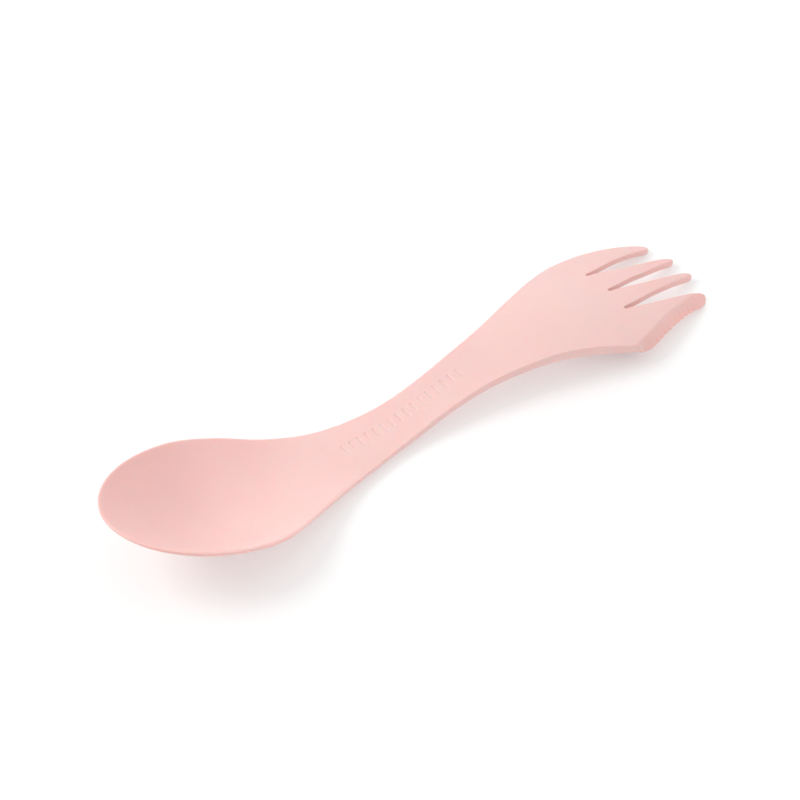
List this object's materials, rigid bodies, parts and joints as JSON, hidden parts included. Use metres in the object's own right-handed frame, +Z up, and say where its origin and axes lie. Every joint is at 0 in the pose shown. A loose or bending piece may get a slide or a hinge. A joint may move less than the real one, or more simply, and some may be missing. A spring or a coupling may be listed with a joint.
{
  "type": "spork",
  "caption": "Camping spork moulded in one piece: deep spoon bowl, flat waisted handle, and a crowned fork head with tapering tines and a bevelled, notched cutting edge.",
  "frame": {"origin": "middle of the footprint, on the plane the spork lies on; it touches that plane under the bowl and under the tine tips", "axes": "+X runs along the spork from the spoon tip to the tines, +Y across it away from the notched cutting edge, +Z up out of the open side of the bowl"},
  "size_m": [0.17, 0.04, 0.021],
  "materials": {
    "pink_plastic": "fine satin texture, pale salmon pink, moulded right through"
  },
  "bodies": {
    "root": {"spoon_bowl": "pink_plastic", "handle": "pink_plastic", "fork_palm": "pink_plastic", "outer_tine": "pink_plastic", "inner_tine_far": "pink_plastic", "inner_tine_near": "pink_plastic", "knife_tine": "pink_plastic"}
  },
  "joints": []
}
